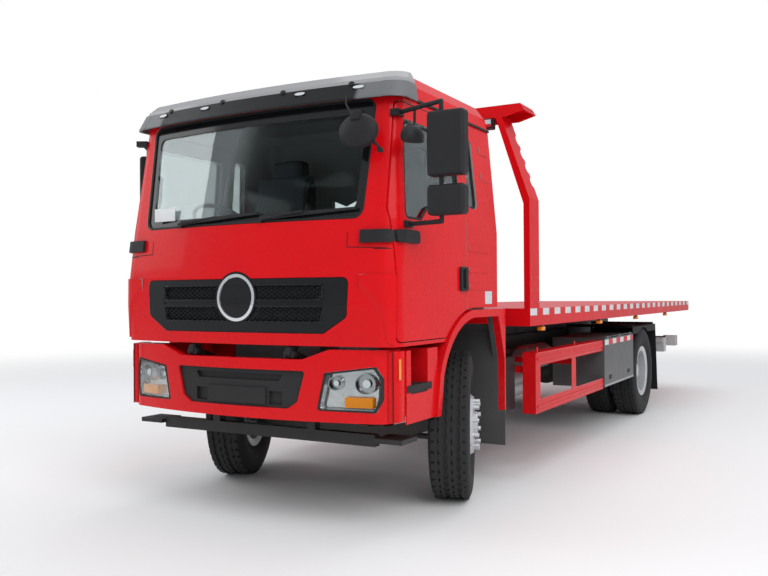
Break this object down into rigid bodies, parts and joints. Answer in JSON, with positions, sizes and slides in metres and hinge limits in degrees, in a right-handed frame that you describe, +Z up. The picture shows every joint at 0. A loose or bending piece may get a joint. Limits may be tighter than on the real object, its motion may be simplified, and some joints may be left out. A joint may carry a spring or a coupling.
{
  "type": "tow truck",
  "caption": "Cab-over recovery truck with a tilting, sliding flatbed, a winch, a wheel lift, tool boxes and twin rear wheels.",
  "frame": {"origin": "on the ground in the truck's middle plane, half way along its length", "axes": "+X to the truck's left side, +Y to its rear, +Z up"},
  "size_m": [2.9353, 9.369, 3],
  "materials": {
    "red_paint": "gloss",
    "black_paint": "satin",
    "grey_paint": "satin",
    "trim_plastic": "matte",
    "gloss_trim": "gloss",
    "inside_trim": "matte",
    "window_glass": "gloss",
    "lamp_glass": "gloss",
    "lamp_chrome": "gloss",
    "tyre_rubber": "matte",
    "flap_rubber": "matte",
    "rim_silver": "satin",
    "cast_parts": "matte",
    "rod_steel": "gloss",
    "tank_metal": "satin"
  },
  "bodies": {
    "chassis": {"chassis_frame": "black_paint", "subframe": "black_paint", "front_axle": "cast_parts", "rear_axle": "cast_parts", "engine_block": "grey_paint", "bumper": "red_paint", "bumper_grille": "trim_plastic", "headlamps": "lamp_chrome", "lamp_lenses": "lamp_glass", "front_underrun": "black_paint", "front_wings": "red_paint", "mudguards": "flap_rubber", "side_guards": "red_paint", "toolboxes": "black_paint", "side_tanks": "tank_metal", "tail_lamps": "black_paint"},
    "lid_left": {"toolbox_lid_left": "black_paint"},
    "lid_right": {"toolbox_lid_right": "black_paint"},
    "cab": {"cab_shell": "red_paint", "cab_trim": "trim_plastic", "cab_glass": "window_glass", "grille": "gloss_trim", "sun_visor": "gloss_trim", "cab_interior": "inside_trim", "screen_fittings": "trim_plastic"},
    "left_door": {"door_left": "red_paint", "door_glass_left": "window_glass", "door_trim_left": "trim_plastic", "mirror_left": "trim_plastic"},
    "right_door": {"door_right": "red_paint", "door_glass_right": "window_glass", "door_trim_right": "trim_plastic", "mirror_right": "trim_plastic"},
    "bed_frame": {"tilt_frame": "black_paint"},
    "bed": {"bed_deck": "red_paint", "mast": "red_paint"},
    "drum": {"winch_drum": "cast_parts"},
    "ram_barrels": {"tilt_barrels": "black_paint"},
    "ram_rods": {"tilt_rods": "rod_steel"},
    "lift_boom": {"underlift_boom": "black_paint"},
    "lift_arm": {"underlift_arm": "grey_paint"},
    "lift_crossbar": {"underlift_crossbar": "black_paint"},
    "left_knuckle": {"knuckle_left": "cast_parts"},
    "right_knuckle": {"knuckle_right": "cast_parts"},
    "track_rod": {"tie_rod": "cast_parts"},
    "wheel_front_left": {"tyre_front_left": "tyre_rubber", "rim_front_left": "rim_silver"},
    "wheel_front_right": {"tyre_front_right": "tyre_rubber", "rim_front_right": "rim_silver"},
    "wheels_rear_left": {"tyres_rear_left": "tyre_rubber", "rims_rear_left": "rim_silver"},
    "wheels_rear_right": {"tyres_rear_right": "tyre_rubber", "rims_rear_right": "rim_silver"}
  },
  "joints": [
    {"name": "steer_left", "type": "hinge", "parent": "chassis", "child": "left_knuckle", "pos_m": [0.857, -3.4175, 0.525], "axis": [0, 0, 1], "range_deg": [-57, 15]},
    {"name": "steer_right", "type": "hinge", "parent": "chassis", "child": "right_knuckle", "pos_m": [-0.857, -3.4175, 0.525], "axis": [0, 0, 1], "range_deg": [-57, 15]},
    {"name": "track_rod_turn", "type": "hinge", "parent": "left_knuckle", "child": "track_rod", "pos_m": [0.79787, -3.26346, 0.3965], "axis": [0, 0, 1], "range_deg": [-15, 57]},
    {"name": "spin_front_left", "type": "hinge", "parent": "left_knuckle", "child": "wheel_front_left", "pos_m": [0.857, -3.4175, 0.525], "axis": [0.9336, 0.3584, 0], "continuous": true},
    {"name": "spin_front_right", "type": "hinge", "parent": "right_knuckle", "child": "wheel_front_right", "pos_m": [-0.857, -3.4175, 0.525], "axis": [0.9336, 0.3584, 0], "continuous": true},
    {"name": "spin_rear_left", "type": "hinge", "parent": "chassis", "child": "wheels_rear_left", "pos_m": [0.9, 1.5225, 0.525], "axis": [1, 0, 0], "continuous": true},
    {"name": "spin_rear_right", "type": "hinge", "parent": "chassis", "child": "wheels_rear_right", "pos_m": [-0.9, 1.5225, 0.525], "axis": [1, 0, 0], "continuous": true},
    {"name": "cab_tilt", "type": "hinge", "parent": "chassis", "child": "cab", "pos_m": [0, -4.6275, 1.095], "axis": [1, 0, 0], "range_deg": [0, 50]},
    {"name": "door_left_swing", "type": "hinge", "parent": "cab", "child": "left_door", "pos_m": [1.155, -4.6275, 1.9], "axis": [0, 0, -1], "range_deg": [0, 70]},
    {"name": "door_right_swing", "type": "hinge", "parent": "cab", "child": "right_door", "pos_m": [-1.155, -4.6275, 1.9], "axis": [0, 0, 1], "range_deg": [0, 70]},
    {"name": "lid_left_swing", "type": "hinge", "parent": "chassis", "child": "lid_left", "pos_m": [1.238, 0.3085, 1.015], "axis": [0, -1, 0], "range_deg": [0, 90]},
    {"name": "lid_right_swing", "type": "hinge", "parent": "chassis", "child": "lid_right", "pos_m": [-1.238, 0.3085, 1.015], "axis": [0, 1, 0], "range_deg": [0, 90]},
    {"name": "bed_tilt", "type": "hinge", "parent": "chassis", "child": "bed_frame", "pos_m": [0, 3.0825, 1.026], "axis": [-1, 0, 0], "range_deg": [0, 14]},
    {"name": "bed_slide", "type": "slide", "parent": "bed_frame", "child": "bed", "axis": [0, 1, 0], "range_m": [0, 3.2]},
    {"name": "winch_spin", "type": "hinge", "parent": "bed", "child": "drum", "pos_m": [0, -2.1275, 1.515], "axis": [1, 0, 0], "continuous": true},
    {"name": "ram_swing", "type": "hinge", "parent": "chassis", "child": "ram_barrels", "pos_m": [0, 0.4975, 0.8], "axis": [-1, 0, 0], "range_deg": [0, 35.65]},
    {"name": "ram_stroke", "type": "slide", "parent": "ram_barrels", "child": "ram_rods", "axis": [0, -0.951, 0.3092], "range_m": [0, 0.4213]},
    {"name": "boom_tilt", "type": "hinge", "parent": "chassis", "child": "lift_boom", "pos_m": [0, 3.3025, 0.765], "axis": [-1, 0, 0], "range_deg": [0, 10]},
    {"name": "boom_reach", "type": "slide", "parent": "lift_boom", "child": "lift_arm", "axis": [0, 1, 0], "range_m": [0, 0.5]},
    {"name": "crossbar_swivel", "type": "hinge", "parent": "lift_arm", "child": "lift_crossbar", "pos_m": [0, 4.1025, 0.765], "axis": [0, 0, 1], "range_deg": [-12, 12]}
  ],
  "couplings": [
    {"joint": "steer_right", "follows": "steer_left", "ratio": 1},
    {"joint": "track_rod_turn", "follows": "steer_left", "ratio": -1},
    {"joint": "ram_swing", "follows": "bed_tilt", "ratio": 2.5426},
    {"joint": "ram_stroke", "follows": "bed_tilt", "m_per_rad": 1.722}
  ]
}
